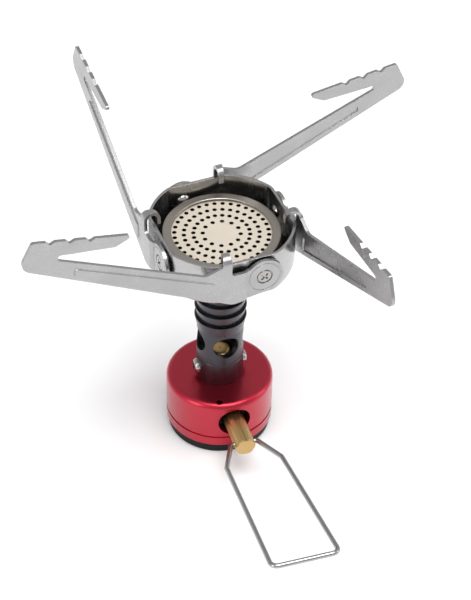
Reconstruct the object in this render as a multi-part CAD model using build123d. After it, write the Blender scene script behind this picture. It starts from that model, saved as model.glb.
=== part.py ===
from build123d import *
import math
import os

# Canister-top camping stove, millimetres, +Z up.
# Origin: mouth of the canister thread, on the stem's axis, in the plane that the foot ring stands on.
# The fuel valve points along -Y. The four support arms form a pinwheel round the burner bowl.

# ---- driving dimensions -------------------------------------------------------------------------
fit_gap = 0.05                # running clearance on a radius
seat_gap = 0.02               # clearance of a piece that is pushed in and stays

base_diameter = 32.0          # red valve housing
base_roof = 2.1               # metal above the valve's gland hole
base_edge = 1.9               # rounded top edge
base_groove_width = 0.8
base_groove_depth = 0.3
base_groove_height = 2.9      # groove's lower edge above the housing's underside

foot_step = 0.7               # black ring's side inside the housing's side
foot_height = 3.5
foot_width = 3.4

thread_radius = 5.15          # minor radius of the 7/16-28 canister thread
thread_length = 6.7
adapter_radius = 8.0
adapter_roof = 0.9
seal_wire = 1.1               # canister seal, thickness of the rubber
seal_seat_height = 1.5
seal_seat_step = 0.45

filter_radius = 2.5
filter_thickness = 0.5
pin_radius = 0.9              # pin that opens the canister's own valve
pin_length = 1.4
gas_bore_radius = 0.8

valve_floor = 0.3             # metal between the adapter and the O-ring's seat
shaft_radius = 2.0
needle_radius = 1.0
needle_tip_radius = 0.35
needle_start = 1.6            # distances along the valve are from the stem's axis
needle_end = 3.4
shaft_start = 4.3
oring_wire = 1.1
oring_inset = 0.7             # O-ring's middle behind the gland
gland_recess = 3.6            # gland's outer face inside the housing's side
gland_length = 3.8
valve_hole_radius = 4.9
knob_radius = 3.05
knob_gap = 0.6                # knob stands off the gland
knob_length = 13.9
knob_edge = 0.35
flute_count = 6
flute_radius = 1.1
flute_depth = 0.45
cross_hole_inset = 2.0        # handle hole from the knob's outer end

lock_pin_radius = 0.95
lock_pin_turn = -107.0        # direction of the pin, seen from above
lock_pin_recess = 2.0
lock_pin_reach = 6.4

handle_wire = 1.5
handle_hook = 2.35            # wire's end inside the knob
handle_side_gap = 0.15        # wire to the knob's side
handle_near_half_width = 8.4
handle_far_half_width = 9.7
handle_shoulder = 10.2
handle_length = 56.4
handle_bend = 2.0
handle_neck_bend = 1.3
handle_lift = 10.0            # degrees above level

# the post in the housing's top holds the jet and the stem
post_height = 5.4
post_spigot_radius = 4.0
post_spigot_length = 3.0
jet_radius = 3.45
jet_height = 3.7
jet_edge = 1.4
jet_spigot_radius = 2.0
jet_spigot_length = 3.4
jet_bore_radius = 0.6
jet_orifice_radius = 0.2
jet_orifice_length = 0.7

collar_step = 0.12            # collar outside the tube
collar_wall = 1.6
collar_height = 7.9
screw_height = 3.5            # screw axis above the housing's top face
screw_radius = 1.2
screw_head_radius = 2.2
screw_head_height = 1.4
screw_head_edge = 1.0
screw_slot_length = 2.6       # cross recess
screw_slot_width = 0.6
screw_slot_depth = 0.7
screw_grip = 1.1              # depth into the post
screw_seat = 0.35             # flat under the head, cut into the collar

tube_bore_radius = 5.2
tube_wall = 1.73
tube_spigot_wall = 0.9
tube_spigot_length = 2.2
tube_plain_length = 11.45
air_hole_radius = 3.85
air_hole_height = 6.8         # air hole axis above the collar
ridge_count = 4
ridge_pitch = 3.85
ridge_step = 0.71             # ridge's edge outside the tube
ridge_root_depth = 0.08       # foot of each ridge inside the tube's face
ridge_land = 0.25             # upright part of each ridge at its upper edge
neck_length = 8.55
neck_spigot_wall = 0.75
neck_spigot_length = 3.9

bowl_radius = 20.9
bowl_wall = 0.8
bowl_height = 14.9
bowl_corner = 3.2
bowl_flat_width = 17.4        # pressed flats that the arms are riveted to
bowl_blend = 5.0              # radius between a flat and the round wall
nut_width = 2.65              # corner of the nut outside the spigot
nut_height = 2.2

cup_wall = 0.6
cup_foot_step = 0.9           # cup's flat foot outside the nut
cup_flare_height = 3.6
cup_height = 9.05
ledge_width = 0.8
ledge_height = 0.6
screen_thickness = 0.45
screen_drop = 1.6             # flame screen below the disc, set by the disc's skirt
screen_hole_radius = 0.8
screen_hole_counts = (6, 12, 18)
screen_hole_margin = 2.3      # outermost ring of holes inside the flange
disc_thickness = 0.6
disc_skirt_wall = 0.7
disc_hole_radius = 0.65
disc_hole_counts = (12, 24, 30, 36)
disc_hole_margin = 0.9        # outermost ring of holes inside the flange
disc_hole_turn = 72.0
flange_width = 2.6
flange_overhang = 1.3         # flange beyond the cup
burner_gap = 0.1              # flange to the rivets' inner heads
flange_thickness = 1.05
flange_lip_thickness = 0.4    # inner lip, standing clear of the disc
flange_skirt = 1.8
flange_edge = 0.35

head_turn = 5.0               # arms and bowl turned on the stem, seen from above
arm_count = 4
arm_names = ("support_arm_back", "support_arm_left", "support_arm_front", "support_arm_right")
arm_sheet = 1.0
washer_radius = 3.3
washer_thickness = 0.5        # between the bowl's flat and the arm's eye
arm_gap = 0.05                # arm's eye to its washer
arm_joggle = 0.65             # main part of the arm stands out this much from its eye
joggle_start = 4.9
joggle_run = 1.1
pivot_offset = 4.54           # rivet behind the arm's foot point on the stem's axis
pivot_drop = 5.94             # rivet below the bowl's rim
eye_radius = 5.6
eye_coin_radius = 4.75        # fine pressed line round the rivet
eye_coin_width = 0.25
eye_coin_depth = 0.12
rivet_radius = 1.3
rivet_head_radius = 2.1
rivet_head_height = 0.5
rivet_head_edge = 0.3
rivet_recess_gap = 0.3        # round the head in the eye's recess
rivet_recess = 0.5
rivet_dome_radius = 2.2
rivet_dome_height = 1.2
cross_width = 0.6
cross_length = 2.6
cross_depth = 0.4

# how far each arm stands above or below the drawn outline, degrees about its rivet
arm_lifts = (-0.9, -1.2, 1.1, -1.4)

# arm outline: along the arm and up, both from the rivet
root_corner = (9.6, -7.0)
low_corner = (70.3, 23.05)
top_corner = (66.4, 31.0)
tine_tip = (38.3, 26.3)
tine_heel = (43.8, 23.65)
slot_top_corner = (59.6, 25.1)
slot_corner = (59.6, 23.43)
valley = (17.8, 5.4)
ear_start = 10.1
recess_height = 3.5
notch_first = 5.07            # along the top edge from the outer corner
notch_pitch = 5.5
notch_count = 3
notch_half_width = 1.25
notch_depth = 0.95
bead_low_margin = 1.4
bead_top_margin = 2.1
bead_start = 15.4
bead_end = 55.0
bead_height = 0.35
bead_slope = 0.25
bead_taper = 20.0
bead_round = 0.7

# stop hook: a tab folded inward over the bowl's rim
hook_spring = 7.05            # where the fold starts, above the rivet
hook_bend = 1.5               # inside radius
hook_lip = 1.8                # straight end of the hook inside the bowl
hook_root_width = 2.8
hook_crown_width = 1.9
hook_lip_width = 1.5

# ---- places worked out from them ----------------------------------------------------------------
base_radius = base_diameter / 2
foot_radius = base_radius - foot_step
adapter_top = thread_length + seal_seat_height + adapter_roof
oring_seat_radius = shaft_radius + oring_wire + 2 * fit_gap
valve_z = adapter_top + valve_floor + oring_seat_radius
base_top = valve_z + valve_hole_radius + base_roof
gland_end = base_radius - gland_recess
gland_start = gland_end - gland_length
oring_place = gland_start - oring_inset
knob_start = gland_end + knob_gap
knob_end = knob_start + knob_length
cross_hole = knob_end - cross_hole_inset
handle_neck = knob_radius + handle_side_gap + handle_wire / 2
tube_radius = tube_bore_radius + tube_wall
ridge_radius = tube_radius + ridge_step
ridge_root_radius = tube_radius - ridge_root_depth
neck_spigot_radius = tube_bore_radius + neck_spigot_wall
nut_radius = neck_spigot_radius + nut_width
cup_foot_radius = nut_radius + cup_foot_step
collar_radius = tube_radius + collar_step
post_top = base_top + post_height
jet_bottom = post_top - jet_spigot_length
jet_top = post_top + jet_height
collar_bore_radius = collar_radius - collar_wall
post_radius = collar_bore_radius - fit_gap
collar_top = base_top + collar_height
screw_z = base_top + screw_height
screw_head_start = collar_radius - screw_seat
ridge_bottom = collar_top + tube_plain_length
ridge_top = ridge_bottom + ridge_count * ridge_pitch
bowl_bottom = ridge_top + neck_length
bowl_floor = bowl_bottom + bowl_wall
rim_z = bowl_bottom + bowl_height
bowl_flat = math.sqrt(bowl_radius ** 2 - (bowl_flat_width / 2) ** 2)
pivot_z = rim_z - pivot_drop
flange_radius = bowl_flat - bowl_wall - rivet_dome_height - burner_gap
flange_inner_radius = flange_radius - flange_width
cup_radius = flange_radius - flange_overhang
cup_bottom = bowl_floor
cup_top = cup_bottom + cup_height
cup_bore_radius = cup_radius - cup_wall
disc_bottom = cup_top - disc_thickness
screen_bottom = disc_bottom - screen_drop - screen_thickness
ledge_bottom = screen_bottom - ledge_height
flange_top = cup_top + flange_thickness
eye_inner = bowl_flat + washer_thickness + arm_gap
eye_outer = eye_inner + arm_sheet
arm_inner = eye_inner + arm_joggle
arm_outer = arm_inner + arm_sheet
hook_centre = arm_inner - hook_bend
hook_inner = hook_centre - hook_bend - arm_sheet
arm_top = top_corner[1] + 1
slack = 1.0                   # how far a cutting tool runs past what it cuts

ON_FLOOR = (Align.CENTER, Align.CENTER, Align.MIN)


# ---- helpers ------------------------------------------------------------------------------------
def rod(radius, bottom, top):
    """Upright round bar on the stem's axis."""
    return Pos(0, 0, bottom) * Cylinder(radius, top - bottom, align=ON_FLOOR)


def turned(points):
    """Solid turned about the stem's axis from an outline of (radius, height) points."""
    outline = Plane.XZ * make_face(Polyline(*points, close=True))
    return revolve(outline, Axis.Z)


def ring(outer_radius, inner_radius, bottom, top):
    return rod(outer_radius, bottom, top) - rod(inner_radius, bottom - slack, top + slack)


def torus_at(centre_radius, wire, height):
    return Pos(0, 0, height) * Torus(centre_radius, wire / 2)


def on_valve(shape):
    """Put a shape built along +Z on the valve's axis, which points along -Y."""
    return Pos(0, 0, valve_z) * Rot(90, 0, 0) * shape


def on_arm(shape, index):
    """Put a shape built for the arm whose face looks along +Y at one of the four stations."""
    return Rot(0, 0, head_turn + index * 360 / arm_count) * shape


def at_pivot(shape):
    """Put a shape built round the rivet, with its axis along +Y at the stem's axis, in place."""
    return Pos(-pivot_offset, 0, pivot_z) * shape


def across(radius, start, end):
    """Round bar along +Y between two distances from the stem's axis."""
    return Pos(0, start, 0) * Rot(-90, 0, 0) * Cylinder(radius, end - start, align=ON_FLOOR)


# ---- housing and canister connection ------------------------------------------------------------
def make_foot_ring():
    body = ring(foot_radius, foot_radius - foot_width, 0, foot_height)
    return chamfer(body.edges().group_by(Axis.Z)[0], 0.3)


def make_canister_adapter():
    body = rod(adapter_radius, 0, adapter_top)
    body -= rod(thread_radius, -slack, thread_length)
    body -= rod(thread_radius + seal_seat_step, thread_length, thread_length + seal_seat_height)
    return body - rod(pin_radius, 0, adapter_top + slack)


def make_canister_seal():
    centre = thread_radius + seal_seat_step - seat_gap - seal_wire / 2
    return torus_at(centre, seal_wire, thread_length + seal_seat_height / 2)


def make_valve_pin():
    start = thread_length + (seal_seat_height - pin_length)
    stem = rod(pin_radius - seat_gap, start, adapter_top)
    return stem - rod(gas_bore_radius / 2, start - slack, adapter_top + slack)


def make_inlet_filter():
    return rod(filter_radius - seat_gap, adapter_top, adapter_top + filter_thickness)


def make_base_body():
    body = rod(base_radius, foot_height, base_top)
    body = fillet(body.edges().group_by(Axis.Z)[-1], base_edge)
    groove_bottom = foot_height + base_groove_height
    groove_top = groove_bottom + base_groove_width
    body -= ring(base_radius + slack, base_radius - base_groove_depth, groove_bottom, groove_top)
    body -= rod(adapter_radius, foot_height - slack, adapter_top)
    body -= rod(filter_radius, adapter_top - slack, adapter_top + filter_thickness)
    body -= rod(gas_bore_radius, adapter_top, base_top + slack)
    body -= rod(post_spigot_radius, base_top - post_spigot_length, base_top + slack)
    body -= on_valve(rod(needle_radius + fit_gap * 2, 0, shaft_start))
    body -= on_valve(rod(shaft_radius + fit_gap, shaft_start - needle_radius / 2, gland_start + slack))
    body -= on_valve(rod(oring_seat_radius, oring_place - oring_wire, gland_start + slack))
    body -= on_valve(rod(valve_hole_radius, gland_start, base_radius + slack))
    pin_bottom = base_top - lock_pin_recess - lock_pin_reach
    return body - lock_pin_at(rod(lock_pin_radius + seat_gap, pin_bottom, base_top + slack))


def lock_pin_at(shape):
    """Put an upright bar where the pin runs down just in front of the gland."""
    distance = (gland_end + lock_pin_radius + fit_gap) / math.cos(math.radians(-90 - lock_pin_turn))
    return Rot(0, 0, lock_pin_turn) * Pos(distance, 0, 0) * shape


def make_gland_lock_pin():
    top = base_top - lock_pin_recess
    return lock_pin_at(rod(lock_pin_radius, top - lock_pin_reach, top))


# ---- fuel valve ---------------------------------------------------------------------------------
def make_spindle_gland():
    body = ring(valve_hole_radius - seat_gap, shaft_radius + fit_gap, gland_start, gland_end)
    return on_valve(chamfer(body.edges().group_by(Axis.Z)[-1], 0.3))


def make_spindle_oring():
    return on_valve(torus_at(shaft_radius + oring_wire / 2, oring_wire, oring_place))


def make_valve_spindle():
    needle = Cone(needle_tip_radius, needle_radius, needle_end - needle_start, align=ON_FLOOR)
    body = Pos(0, 0, needle_start) * needle + rod(needle_radius, needle_end, shaft_start)
    body += rod(shaft_radius, shaft_start, knob_start)
    knob = rod(knob_radius, knob_start, knob_end)
    knob = chamfer(knob.edges().group_by(Axis.Z)[-1], knob_edge)
    flute = rod(flute_radius, knob_start - slack, knob_end + slack)
    flute = Pos(0, knob_radius + flute_radius - flute_depth, 0) * flute
    for turn in range(flute_count):
        knob -= Rot(0, 0, turn * 360 / flute_count) * flute
    cross = Pos(0, 0, cross_hole) * Rot(0, 90, 0) * Cylinder(handle_wire / 2 + fit_gap, 4 * knob_radius)
    return on_valve(body + (knob - cross))


def make_handle():
    radii = (handle_neck_bend, handle_bend, handle_bend)
    side = [(handle_neck, 0), (handle_near_half_width, handle_shoulder)]
    side += [(handle_far_half_width, handle_length)]
    left = [(-x, y) for x, y in reversed(side)]
    start = knob_radius - handle_hook
    points = [(start, 0), *side, *left, (-start, 0)]
    path = FilletPolyline(*points, radius=list(radii) + list(reversed(radii)))
    section = Plane(origin=(start, 0, 0), z_dir=(1, 0, 0)) * Circle(handle_wire / 2)
    loop = sweep(section, path=path)
    outward = Pos(0, -cross_hole, valve_z) * Rot(-handle_lift, 0, 0) * Rot(0, 0, 180)
    return outward * loop


# ---- stem ---------------------------------------------------------------------------------------
def make_jet_post():
    body = rod(post_spigot_radius, base_top - post_spigot_length, base_top)
    body += rod(post_radius, base_top, post_top)
    body -= rod(gas_bore_radius, base_top - post_spigot_length - slack, post_top)
    body -= rod(jet_spigot_radius, jet_bottom, post_top + slack)
    return body - screws_along(rod(screw_radius, post_radius - screw_grip, post_radius + slack))


def make_jet():
    head = rod(jet_radius, post_top, jet_top)
    head = fillet(head.edges().group_by(Axis.Z)[-1], jet_edge)
    body = head + rod(jet_spigot_radius, jet_bottom, post_top)
    body -= rod(jet_bore_radius, jet_bottom - slack, jet_top - jet_orifice_length)
    return body - rod(jet_orifice_radius, jet_bottom, jet_top + slack)


def screws_along(shape):
    """Lay a shape built along +Z on both screw axes, which point along +X and -X."""
    placed = Pos(0, 0, screw_z) * Rot(0, 90, 0) * shape
    return placed + Rot(0, 0, 180) * placed


def make_stem_collar():
    body = ring(collar_radius, collar_bore_radius, base_top, collar_top)
    body = chamfer(body.edges().group_by(Axis.Z)[-1].sort_by(SortBy.LENGTH)[-1], 0.3)
    body -= screws_along(rod(screw_radius + fit_gap, collar_bore_radius - slack, collar_radius + slack))
    return body - screws_along(rod(screw_head_radius + fit_gap, screw_head_start, collar_radius + slack))


def make_stem_screws():
    head = rod(screw_head_radius, screw_head_start, screw_head_start + screw_head_height)
    head = fillet(head.edges().group_by(Axis.Z)[-1], screw_head_edge)
    slot_top = screw_head_start + screw_head_height
    for turn in (0, 90):
        slot = Rot(0, 0, turn) * Box(screw_slot_length, screw_slot_width, 2 * screw_slot_depth)
        head -= Pos(0, 0, slot_top) * slot
    return screws_along(head + rod(screw_radius, post_radius - screw_grip, screw_head_start))


def make_mixer_tube():
    spigot = collar_bore_radius - seat_gap
    outline = [(tube_bore_radius, collar_top), (tube_bore_radius, bowl_floor + neck_spigot_length)]
    outline += [(neck_spigot_radius, bowl_floor + neck_spigot_length), (neck_spigot_radius, bowl_bottom)]
    outline += [(tube_radius, bowl_bottom), (tube_radius, ridge_top)]
    for ridge in reversed(range(ridge_count)):
        foot = ridge_bottom + ridge * ridge_pitch
        top = foot + ridge_pitch
        outline += [(ridge_radius, top), (ridge_radius, top - ridge_land), (ridge_root_radius, foot)]
    outline[-1] = (tube_radius, ridge_bottom)
    outline += [(tube_radius, collar_top), (spigot, collar_top), (spigot, collar_top - tube_spigot_length)]
    outline += [(spigot - tube_spigot_wall, collar_top - tube_spigot_length)]
    outline += [(spigot - tube_spigot_wall, collar_top)]
    body = turned(outline)
    hole = Rot(0, 90, 0) * Cylinder(air_hole_radius, 4 * tube_radius)
    hole = Pos(0, 0, collar_top + air_hole_height) * hole
    return body - hole - Rot(0, 0, 90) * hole


# ---- bowl and burner ----------------------------------------------------------------------------
def bowl_form(inset, bottom, top):
    """Round form with four flats blended into it, or its inside at an inset of one wall."""
    flat = 2 * (bowl_flat - inset)
    outline = Circle(bowl_radius - inset) & Rot(0, 0, head_turn) * Rectangle(flat, flat)
    outline = fillet(outline.vertices(), bowl_blend - inset)
    body = Pos(0, 0, bottom) * extrude(outline, top - bottom)
    return fillet(body.edges().group_by(Axis.Z)[0], bowl_corner - inset)


def make_bowl():
    body = bowl_form(0, bowl_bottom, rim_z) - bowl_form(bowl_wall, bowl_floor, rim_z + slack)
    body -= rod(neck_spigot_radius + fit_gap, bowl_bottom - slack, rim_z)
    hole = at_pivot(across(rivet_radius, bowl_flat - 2 * bowl_wall, bowl_flat + slack))
    for index in range(arm_count):
        body -= on_arm(hole, index)
    return body


def make_bowl_nut():
    hexagon = RegularPolygon(nut_radius, 6)
    body = Pos(0, 0, cup_bottom + cup_wall) * extrude(hexagon, nut_height)
    return body - rod(neck_spigot_radius + seat_gap, cup_bottom, cup_top)


def make_burner_cup():
    flare_top = cup_bottom + cup_flare_height
    outline = [(neck_spigot_radius + seat_gap, cup_bottom), (cup_foot_radius, cup_bottom)]
    outline += [(cup_radius, flare_top), (cup_radius, cup_top)]
    outline += [(cup_bore_radius, cup_top), (cup_bore_radius, screen_bottom)]
    outline += [(cup_bore_radius - ledge_width, screen_bottom), (cup_bore_radius - ledge_width, ledge_bottom)]
    outline += [(cup_bore_radius, ledge_bottom), (cup_bore_radius, flare_top + cup_wall / 2)]
    outline += [(cup_foot_radius - cup_wall / 4, cup_bottom + cup_wall)]
    outline += [(neck_spigot_radius + seat_gap, cup_bottom + cup_wall)]
    return turned(outline)


def drilled(body, counts, inner_steps, outer_ring, hole):
    """Cut evenly spaced rings of holes, with some steps of the spacing left whole in the middle."""
    step = outer_ring / (inner_steps + len(counts) - 1)
    for index, count in enumerate(counts):
        drill = Pos((inner_steps + index) * step, 0, 0) * hole
        body -= [Rot(0, 0, disc_hole_turn + place * 360 / count) * drill for place in range(count)]
    return body


def make_flame_screen():
    top = screen_bottom + screen_thickness
    body = rod(cup_bore_radius - fit_gap, screen_bottom, top)
    hole = rod(screen_hole_radius, screen_bottom - slack, top + slack)
    return drilled(body, screen_hole_counts, 1, flange_inner_radius - screen_hole_margin, hole)


def make_burner_disc():
    """Drilled plate with a skirt that holds the flame screen on its ledge."""
    radius = cup_bore_radius - fit_gap
    body = rod(radius, disc_bottom, cup_top)
    body += ring(radius, radius - disc_skirt_wall, disc_bottom - screen_drop, disc_bottom)
    hole = rod(disc_hole_radius, disc_bottom - slack, cup_top + slack)
    return drilled(body, disc_hole_counts, 2, flange_inner_radius - disc_hole_margin, hole)


def make_burner_flange():
    lip_bottom = flange_top - flange_lip_thickness
    outline = [(flange_inner_radius, lip_bottom), (cup_bore_radius, lip_bottom), (cup_bore_radius, cup_top)]
    outline += [(cup_radius + seat_gap, cup_top)]
    outline += [(cup_radius + seat_gap, cup_top - flange_skirt), (flange_radius, cup_top - flange_skirt)]
    outline += [(flange_radius, flange_top), (flange_inner_radius, flange_top)]
    body = turned(outline)
    return fillet(body.edges().group_by(Axis.Z)[-1], flange_edge)


# ---- support arms -------------------------------------------------------------------------------
def upright(points, radii):
    """Face in the plane of an arm, from (along, up) points with a corner radius each."""
    return Plane.XZ * make_face(FilletPolyline(*points, radius=radii, close=True))


def plate(face, start, end):
    """Thicken an upright face between two distances from the stem's axis."""
    return Pos(0, end, 0) * extrude(face, end - start)


def arm_outline():
    corners = [((0, -eye_radius), 0.5), (root_corner, 4.0), (low_corner, 3.0), (top_corner, 0.8)]
    corners += [(tine_tip, 0.7), (tine_heel, 0.6), (slot_top_corner, 0.8), (slot_corner, 0.8), (valley, 2.5)]
    corners += [((ear_start + hook_root_width, hook_spring), 0), ((ear_start, hook_spring), 0)]
    corners += [((ear_start, recess_height), 1.0), ((0, recess_height), 0.5)]
    return upright([point for point, _ in corners], [radius for _, radius in corners])


def top_edge_place(distance):
    """Point on the toothed top edge, measured back from its outer corner, and the edge's angle."""
    run = top_corner[0] - tine_tip[0]
    rise = top_corner[1] - tine_tip[1]
    angle = math.atan2(rise, run)
    return top_corner[0] - distance * math.cos(angle), top_corner[1] - distance * math.sin(angle), angle


def notch_cutters():
    cutters = []
    for index in range(notch_count):
        along, up, angle = top_edge_place(notch_first + index * notch_pitch)
        wedge = make_face(Polyline((-notch_half_width, 0), (0, -notch_depth), (notch_half_width, 0),
                                   (notch_half_width, slack), (-notch_half_width, slack), close=True))
        tooth = Plane.XZ * Pos(along, up) * Rot(0, 0, math.degrees(angle)) * wedge
        cutters.append(plate(tooth, eye_inner - slack, arm_outer + slack))
    return cutters


def beam_edge(start, end, along, margin):
    """Height of a beam edge at a place along the arm, moved by a margin square to the edge."""
    slope = (end[1] - start[1]) / (end[0] - start[0])
    return start[1] + slope * (along - start[0]) + margin * math.hypot(1, slope)


def bead_face(growth):
    low = bead_low_margin - growth
    high = bead_top_margin - growth
    first = bead_start - growth
    last = bead_end + growth
    points = [(first, beam_edge(root_corner, low_corner, first, low))]
    points += [(last, beam_edge(root_corner, low_corner, last, low))]
    points += [(last, beam_edge(valley, slot_corner, last, -high))]
    points += [(first, beam_edge(valley, slot_corner, first, -high))]
    return upright(points, [bead_round] * 4)


def sheet_band():
    """The sheet seen from above: eye, joggle and main part, as tall as the arm."""
    joggle_end = joggle_start + joggle_run
    far = low_corner[0] + slack
    near = -eye_radius - slack
    inner = [(near, eye_inner), (joggle_start, eye_inner), (joggle_end, arm_inner), (far, arm_inner)]
    outer = [(far, arm_outer), (joggle_end, arm_outer), (joggle_start, eye_outer), (near, eye_outer)]
    band = make_face(Polyline(*inner, *outer, close=True))
    return Pos(0, 0, root_corner[1] - slack) * extrude(band, arm_top - root_corner[1] + slack)


def stop_hook():
    """Tab folded inward over the bowl's rim, narrowing from the arm to its lip."""
    outer_bend = hook_bend + arm_sheet
    arch = Circle(outer_bend) - Circle(hook_bend)
    arch &= Pos(0, outer_bend / 2) * Rectangle(2 * outer_bend, outer_bend)
    arch += Pos(-hook_bend - arm_sheet / 2, -hook_lip / 2) * Rectangle(arm_sheet, hook_lip)
    tab = extrude(Plane.YZ * Pos(hook_centre, hook_spring) * arch, ear_start + hook_root_width)
    pattern = [(ear_start, arm_outer), (ear_start + hook_root_width, arm_outer)]
    pattern += [(ear_start + hook_crown_width, hook_centre), (ear_start + hook_lip_width, hook_inner)]
    pattern += [(ear_start, hook_inner)]
    return tab & extrude(make_face(Polyline(*pattern, close=True)), 2 * hook_spring)


def make_arm():
    outline = arm_outline()
    start = eye_inner - slack
    end = arm_outer + slack
    solid = plate(outline, start, end) + across(eye_radius, start, end)
    solid &= sheet_band()
    solid -= notch_cutters()
    pad = Pos(0, arm_outer, 0) * bead_face(bead_slope)
    pocket = Pos(0, arm_inner, 0) * bead_face(0)
    solid += extrude(pad, bead_height, dir=(0, 1, 0), taper=bead_taper)
    solid -= extrude(pocket, bead_height, dir=(0, 1, 0), taper=bead_taper)
    solid += stop_hook()
    coin = across(eye_coin_radius, eye_outer - eye_coin_depth, eye_outer + slack)
    solid -= (coin - across(eye_coin_radius - eye_coin_width, start, end))
    solid -= across(rivet_radius + fit_gap, start, end)
    return solid - across(rivet_head_radius + rivet_recess_gap, eye_outer - rivet_recess, end)


def make_pivot_washer():
    body = across(washer_radius, bowl_flat, eye_inner - arm_gap)
    return body - across(rivet_radius + fit_gap, 0, eye_outer)


def make_rivet():
    head_start = eye_outer - rivet_recess + seat_gap
    wall_inner = bowl_flat - bowl_wall
    head_end = head_start + rivet_head_height
    head = across(rivet_head_radius, head_start, head_end)
    head = fillet(head.edges().group_by(Axis.Y)[-1], rivet_head_edge)
    body = across(rivet_radius, wall_inner, head_start) + head
    for turn in (45, 135):
        groove = Rot(0, turn, 0) * Box(cross_length, 2 * cross_depth, cross_width)
        body -= Pos(0, head_end, 0) * groove
    sphere_radius = (rivet_dome_radius ** 2 + rivet_dome_height ** 2) / (2 * rivet_dome_height)
    dome = Pos(0, wall_inner + sphere_radius - rivet_dome_height, 0) * Sphere(sphere_radius)
    dome &= across(2 * rivet_dome_radius, wall_inner - 2 * rivet_dome_height, wall_inner)
    return body + dome


# ---- assembly -----------------------------------------------------------------------------------
nodes = {
    "foot_ring": make_foot_ring(),
    "canister_adapter": make_canister_adapter(),
    "canister_seal": make_canister_seal(),
    "valve_pin": make_valve_pin(),
    "inlet_filter": make_inlet_filter(),
    "base_body": make_base_body(),
    "gland_lock_pin": make_gland_lock_pin(),
    "spindle_gland": make_spindle_gland(),
    "spindle_oring": make_spindle_oring(),
    "valve_spindle": make_valve_spindle(),
    "handle": make_handle(),
    "jet_post": make_jet_post(),
    "jet": make_jet(),
    "stem_collar": make_stem_collar(),
    "stem_screws": make_stem_screws(),
    "mixer_tube": make_mixer_tube(),
    "bowl": make_bowl(),
    "bowl_nut": make_bowl_nut(),
    "burner_cup": make_burner_cup(),
    "flame_screen": make_flame_screen(),
    "burner_disc": make_burner_disc(),
    "burner_flange": make_burner_flange(),
}

arm = make_arm()
for arm_index, arm_name in enumerate(arm_names):
    nodes[arm_name] = on_arm(at_pivot(Rot(0, -arm_lifts[arm_index], 0) * arm), arm_index)

for node_name, shape in (("pivot_washers", make_pivot_washer()), ("arm_rivets", make_rivet())):
    copies = [on_arm(at_pivot(shape), arm_index) for arm_index in range(arm_count)]
    nodes[node_name] = Compound(children=copies)

os.makedirs("parts", exist_ok=True)
for node_name, shape in nodes.items():
    export_step(shape, f"parts/{node_name}.step")
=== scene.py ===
"""Canister-top camping stove: finishes of every piece, studio light and camera.

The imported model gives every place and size, in metres, +Z up, with the valve pointing along -Y.
"""
import math

import bpy
from mathutils import Matrix, Vector

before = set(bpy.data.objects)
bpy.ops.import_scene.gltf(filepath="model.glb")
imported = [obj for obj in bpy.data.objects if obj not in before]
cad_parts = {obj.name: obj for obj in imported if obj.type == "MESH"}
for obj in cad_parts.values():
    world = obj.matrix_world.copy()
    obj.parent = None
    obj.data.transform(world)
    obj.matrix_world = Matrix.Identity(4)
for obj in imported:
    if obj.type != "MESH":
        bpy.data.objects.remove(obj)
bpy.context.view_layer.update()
MM = 0.001
NOISE_MIDDLE = (0.3, 0.7)     # nearly all of a noise lies between these
NOISE_WHOLE = (0.0, 1.0)


# ---- node helpers -------------------------------------------------------------------------------
def linear(hex_colour):
    """Turn an sRGB hex colour into linear red, green, blue and alpha."""
    channels = [int(hex_colour[start:start + 2], 16) / 255 for start in (1, 3, 5)]
    return [c / 12.92 if c <= 0.04045 else ((c + 0.055) / 1.055) ** 2.4 for c in channels] + [1.0]


def add(tree, kind, settings=None, **sockets):
    """Add a node. A socket is given a value, or a (node, output) pair to link it to.

    An underscore in a socket's name stands for a space, and _6 is the socket at place 6.
    """
    node = tree.nodes.new(kind)
    for name, value in (settings or {}).items():
        setattr(node, name, value)
    for name, value in sockets.items():
        key = int(name[1:]) if name[0] == "_" and name[1:].isdigit() else name.replace("_", " ")
        if isinstance(value, tuple) and isinstance(value[0], bpy.types.Node):
            tree.links.new(value[0].outputs[value[1]], node.inputs[key])
        else:
            node.inputs[key].default_value = value
    return node


def per_metre(millimetres):
    """Scale of a pattern on Object coordinates whose features are this far apart."""
    return 1 / (millimetres * MM)


def start(name):
    """New material with an empty node tree."""
    material = bpy.data.materials.new(name)
    material.use_nodes = True
    tree = material.node_tree
    tree.nodes.clear()
    return material, tree


def finish_surface(tree, colour, roughness, normal, **shader):
    surface = add(tree, "ShaderNodeBsdfPrincipled", Base_Color=colour, Roughness=roughness, Normal=normal,
                  **shader)
    add(tree, "ShaderNodeOutputMaterial", Surface=(surface, "BSDF"))


def noise(tree, vector, spacing, detail=2.0, roughness=0.5):
    """Cloudy noise with features this many millimetres apart."""
    return add(tree, "ShaderNodeTexNoise", Vector=vector, Scale=per_metre(spacing), Detail=detail,
               Roughness=roughness)


def mix(tree, factor, first, second):
    return add(tree, "ShaderNodeMix", {"data_type": "RGBA"}, Factor=factor, _6=first, _7=second)


def spread(tree, pattern, low, high, span=NOISE_MIDDLE):
    """Stretch a span of a noise over the values from low to high."""
    return add(tree, "ShaderNodeMapRange", Value=(pattern, "Fac"), From_Min=span[0], From_Max=span[1],
               To_Min=low, To_Max=high)


def total(tree, first, second):
    return add(tree, "ShaderNodeMath", {"operation": "ADD", "use_clamp": True},
               _0=(first, "Result"), _1=(second, "Result"))


def soft_edge(tree, millimetres):
    """Normal that rounds the sharp corners of a machined or blanked piece."""
    return add(tree, "ShaderNodeBevel", {"samples": 4}, Radius=millimetres * MM)


def bump(tree, pattern, output, strength, depth, under=None, invert=False):
    """Fine relief this many millimetres deep, laid over the normal of another node."""
    sockets = {"Normal": (under, "Normal")} if under else {}
    return add(tree, "ShaderNodeBump", {"invert": invert}, Strength=strength, Distance=depth * MM,
               Height=(pattern, output), **sockets)


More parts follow.
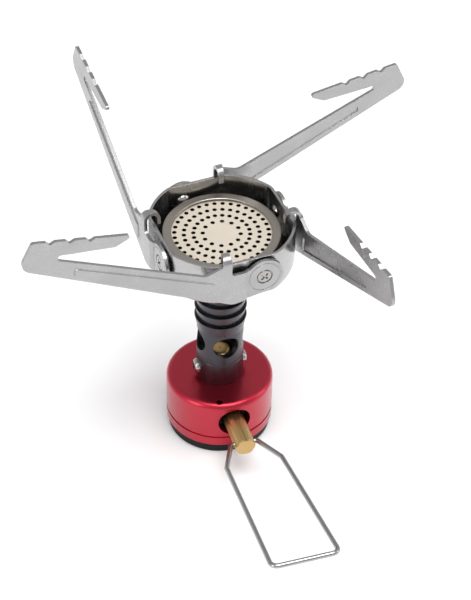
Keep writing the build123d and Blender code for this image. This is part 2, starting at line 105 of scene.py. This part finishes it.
# ---- finishes -----------------------------------------------------------------------------------
def turned_metal(name, pale, deep, roughness, edge=0.15, line=0.35, streak=0.1, relief=0.12, coat=0.0):
    """Metal cut on a lathe: fine rings round the upright axis, seen as a soft streak in each highlight.

    The real feed marks are about 0.05 mm apart, too fine to show, so they are drawn coarser.
    """
    material, tree = start(name)
    place = add(tree, "ShaderNodeTexCoord")
    flat = add(tree, "ShaderNodeVectorMath", {"operation": "MULTIPLY"}, _0=(place, "Object"), _1=(1, 1, 0))
    radius = add(tree, "ShaderNodeVectorMath", {"operation": "LENGTH"}, _0=(flat, "Vector"))
    split = add(tree, "ShaderNodeSeparateXYZ", Vector=(place, "Object"))
    along = add(tree, "ShaderNodeMath", {"operation": "ADD"}, _0=(radius, "Value"), _1=(split, "Z"))
    rings = add(tree, "ShaderNodeTexNoise", {"noise_dimensions": "1D"}, W=(along, "Value"),
                Scale=per_metre(line), Detail=3.0, Roughness=0.7)
    grit = noise(tree, (place, "Object"), spacing=0.5, detail=4.0, roughness=0.65)
    cloud = noise(tree, (place, "Object"), spacing=9)
    colour = mix(tree, (cloud, "Fac"), linear(pale), linear(deep))
    ring_rough = spread(tree, rings, roughness - streak / 2, roughness + streak / 2)
    grit_rough = spread(tree, grit, -0.03, 0.03)
    rough = total(tree, ring_rough, grit_rough)
    corner = soft_edge(tree, edge)
    coarse = bump(tree, rings, "Fac", relief, depth=0.02, under=corner)
    fine = bump(tree, grit, "Fac", relief / 2, depth=0.01, under=coarse)
    finish_surface(tree, (colour, "Result"), (rough, "Value"), (fine, "Normal"), Metallic=1.0,
                   Coat_Weight=coat, Coat_Roughness=0.22)
    return material


def sheet_metal(name, pale, deep, roughness, edge=0.18, grain=0.45, stretch=(1, 1, 1)):
    """Rolled, blanked or pressed sheet: short fine scratches from tumbling, with a slightly cloudy satin.

    The grain is the distance between scratches, and a small stretch draws them out along that axis.
    """
    material, tree = start(name)
    place = add(tree, "ShaderNodeTexCoord")
    laid = add(tree, "ShaderNodeMapping", Vector=(place, "Object"), Scale=stretch)
    scratch = noise(tree, (laid, "Vector"), spacing=grain, detail=5.0, roughness=0.7)
    cloud = noise(tree, (place, "Object"), spacing=7, detail=3.0, roughness=0.6)
    colour = mix(tree, (cloud, "Fac"), linear(pale), linear(deep))
    broad = spread(tree, cloud, roughness - 0.05, roughness + 0.05)
    narrow = spread(tree, scratch, -0.06, 0.06)
    rough = total(tree, broad, narrow)
    corner = soft_edge(tree, edge)
    relief = bump(tree, scratch, "Fac", strength=0.22, depth=0.015, under=corner)
    finish_surface(tree, (colour, "Result"), (rough, "Value"), (relief, "Normal"), Metallic=1.0)
    return material


def moulded_rubber(name, colour):
    """Moulded nitrile rubber: near-black, broad soft sheen, the faint grain of a blasted mould."""
    material, tree = start(name)
    place = add(tree, "ShaderNodeTexCoord")
    grain = noise(tree, (place, "Object"), spacing=0.4, detail=3.0)
    tone = spread(tree, grain, 0.5, 0.62, span=NOISE_WHOLE)
    relief = bump(tree, grain, "Fac", strength=0.3, depth=0.03)
    finish_surface(tree, linear(colour), (tone, "Result"), (relief, "Normal"), IOR=1.52,
                   Specular_IOR_Level=0.25)
    return material


def coated_plate(name, pale, deep, painted_shade, level_slope=0.6):
    """Burner plate with a pale heat-proof coat: matte, a little sandy, with near-black painted shade on every
    face that does not face up, such as the walls of its holes.
    """
    material, tree = start(name)
    place = add(tree, "ShaderNodeTexCoord")
    sand = noise(tree, (place, "Object"), spacing=0.35, detail=4.0, roughness=0.75)
    patch = noise(tree, (place, "Object"), spacing=5)
    coat = mix(tree, (patch, "Fac"), linear(pale), linear(deep))
    facing = add(tree, "ShaderNodeSeparateXYZ", Vector=(place, "Normal"))
    # Faces that face up keep the coat; every other face, such as the hole walls, gets the near-black painted
    # shade colour.
    level = add(tree, "ShaderNodeMath", {"operation": "GREATER_THAN"}, _0=(facing, "Z"), _1=level_slope)
    colour = mix(tree, (level, "Value"), linear(painted_shade), (coat, "Result"))
    tone = spread(tree, sand, 0.42, 0.62, span=NOISE_WHOLE)
    relief = bump(tree, sand, "Fac", strength=0.35, depth=0.03)
    finish_surface(tree, (colour, "Result"), (tone, "Result"), (relief, "Normal"), IOR=1.5)
    return material


def sintered_metal(name, pale, deep):
    """Sintered bronze: packed grains about 0.15 mm across, drawn at 0.3 mm, dull between them."""
    material, tree = start(name)
    place = add(tree, "ShaderNodeTexCoord")
    cells = add(tree, "ShaderNodeTexVoronoi", Vector=(place, "Object"), Scale=per_metre(0.3))
    colour = mix(tree, (cells, "Distance"), linear(pale), linear(deep))
    relief = bump(tree, cells, "Distance", strength=0.6, depth=0.05, invert=True)
    finish_surface(tree, (colour, "Result"), 0.55, (relief, "Normal"), Metallic=1.0)
    return material


red_anodised = turned_metal("red_anodised_aluminium", "#bd1b35", "#b01730", 0.36, coat=0.7)
slate_anodised = turned_metal("slate_anodised_aluminium", "#403f45", "#37363c", 0.36, coat=0.5)
knob_brass = turned_metal("turned_brass", "#d0b07a", "#c6a46b", 0.34,
                          edge=0.12, line=0.8, streak=0.06, relief=0.03)
gland_brass = turned_metal("blackened_turned_brass", "#2b2422", "#1d1917", 0.42)
arm_steel = sheet_metal("tumbled_stainless_sheet", "#b4b3b3", "#a5a4a4", 0.3)
bowl_steel = sheet_metal("pressed_stainless_bowl", "#bab9b8", "#aeadac", 0.22, grain=0.5, stretch=(1, 1, 0.2))
flange_steel = sheet_metal("rolled_stainless_ring", "#b0a9a0", "#a29b92", 0.34)
cup_steel = sheet_metal("dull_stainless_cup", "#8d8b88", "#7c7a77", 0.4)
# Painted shade: the flame screen is coloured near-black to stand in for the shade deep inside the burner.
screen_steel = sheet_metal("screen_steel_painted_shade", "#141210", "#0e0d0c", 0.7)
lock_steel = sheet_metal("blackened_steel_pin", "#1c1a1a", "#141313", 0.5)
wire_steel = sheet_metal("drawn_stainless_wire", "#b4b3b3", "#a8a7a7", 0.2,
                         edge=0.05, grain=0.3, stretch=(1, 0.15, 1))
bright_steel = sheet_metal("plated_steel_fixings", "#b5b3b0", "#a6a4a1", 0.2, edge=0.06)
foot_rubber = moulded_rubber("nitrile_rubber", "#09090b")
# The last colour, near-black, is painted shade for the faces of the plate that do not face up.
disc_coat = coated_plate("coated_burner_plate", "#cdc4b6", "#c4baa9", "#0d0b0a")
filter_bronze = sintered_metal("sintered_bronze", "#9c7d4a", "#5a4526")

# each finish, then the nodes that wear it
FINISHES = (
    (red_anodised, "base_body"),
    (slate_anodised, "stem_collar", "mixer_tube"),
    (knob_brass, "canister_adapter", "valve_pin", "valve_spindle", "jet_post", "jet"),
    (gland_brass, "spindle_gland", "bowl_nut"),
    (arm_steel, "support_arm_back", "support_arm_left", "support_arm_front", "support_arm_right"),
    (bowl_steel, "bowl"),
    (flange_steel, "burner_flange"),
    (cup_steel, "burner_cup", "pivot_washers"),
    (screen_steel, "flame_screen"),
    (lock_steel, "gland_lock_pin"),
    (wire_steel, "handle"),
    (bright_steel, "stem_screws", "arm_rivets"),
    (foot_rubber, "foot_ring", "canister_seal", "spindle_oring"),
    (disc_coat, "burner_disc"),
    (filter_bronze, "inlet_filter"),
)
for finish, *node_names in FINISHES:
    for node_name in node_names:
        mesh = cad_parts[node_name].data
        mesh.materials.clear()
        mesh.materials.append(finish)


# ---- studio -------------------------------------------------------------------------------------
def make_floor():
    """Plain pale sweep that the stove stands on."""
    bpy.ops.object.select_all(action="DESELECT")
    bpy.ops.mesh.primitive_plane_add(size=6.0, location=(0, 0, 0))
    floor = bpy.context.object
    floor.name = "studio_floor"
    paper, tree = start("matte_white_paper")
    surface = add(tree, "ShaderNodeBsdfPrincipled", Base_Color=linear("#f7f7f7"), Roughness=0.9)
    add(tree, "ShaderNodeOutputMaterial", Surface=(surface, "BSDF"))
    floor.data.materials.append(paper)


def make_lamp(name, place, aim, size, power):
    """Soft box at a place in metres, turned to face a point. Its power is in watts."""
    lamp_data = bpy.data.lights.new(name, "AREA")
    lamp_data.shape = "RECTANGLE"
    lamp_data.size, lamp_data.size_y = size
    lamp_data.energy = power
    lamp = bpy.data.objects.new(name, lamp_data)
    lamp.location = place
    lamp.rotation_euler = (Vector(aim) - Vector(place)).to_track_quat("-Z", "Y").to_euler()
    bpy.context.scene.collection.objects.link(lamp)


def make_world():
    """Grey surround, a little darker overhead so that level steel faces read against a white floor."""
    world = bpy.data.worlds.new("studio_surround")
    bpy.context.scene.world = world
    world.use_nodes = True
    tree = world.node_tree
    tree.nodes.clear()
    place = add(tree, "ShaderNodeTexCoord")
    split = add(tree, "ShaderNodeSeparateXYZ", Vector=(place, "Generated"))
    ramp = add(tree, "ShaderNodeValToRGB", Fac=(split, "Z"))
    horizon, overhead = ramp.color_ramp.elements
    horizon.color = (0.62, 0.62, 0.63, 1)
    overhead.color = (0.5, 0.5, 0.51, 1)
    light = add(tree, "ShaderNodeBackground", Color=(ramp, "Color"), Strength=1.0)
    add(tree, "ShaderNodeOutputWorld", Surface=(light, "Background"))


def make_camera():
    """Long lens from the front left, above, with the slight tilt of a hand-set head."""
    azimuth = math.radians(18.0635)
    elevation = math.radians(41.9263)
    roll = math.radians(1.2588)
    distance = 592.6 * MM
    target = Vector((6.87, 8.53, 37.43)) * MM
    level_part = math.cos(elevation)
    back = Vector((-math.sin(azimuth) * level_part, -math.cos(azimuth) * level_part, math.sin(elevation)))
    level = (-back).cross(Vector((0, 0, 1))).normalized()
    upright = level.cross(-back)
    right = level * math.cos(roll) + upright * math.sin(roll)
    up = upright * math.cos(roll) - level * math.sin(roll)
    lens = bpy.data.cameras.new("camera")
    lens.sensor_width = 36.0
    lens.lens = 119.292
    lens.shift_x = 0.0025
    lens.shift_y = 0.0041667
    lens.clip_start = 0.05
    lens.clip_end = 20
    camera = bpy.data.objects.new("camera", lens)
    turn = Matrix((right, up, back)).transposed().to_4x4()
    camera.matrix_world = Matrix.Translation(target + back * distance) @ turn
    bpy.context.scene.collection.objects.link(camera)
    bpy.context.scene.camera = camera


make_floor()
make_world()
make_lamp("overhead_box", place=(0.1, -0.35, 1.4), aim=(0, 0, 0.03), size=(1.0, 0.8), power=16)
make_lamp("left_box", place=(-1.1, -0.5, 0.55), aim=(0, 0, 0.05), size=(0.5, 0.7), power=4)
make_lamp("right_box", place=(1.1, -0.3, 0.5), aim=(0, 0, 0.05), size=(0.4, 0.8), power=2)
make_camera()
bpy.context.scene.view_settings.view_transform = "Standard"
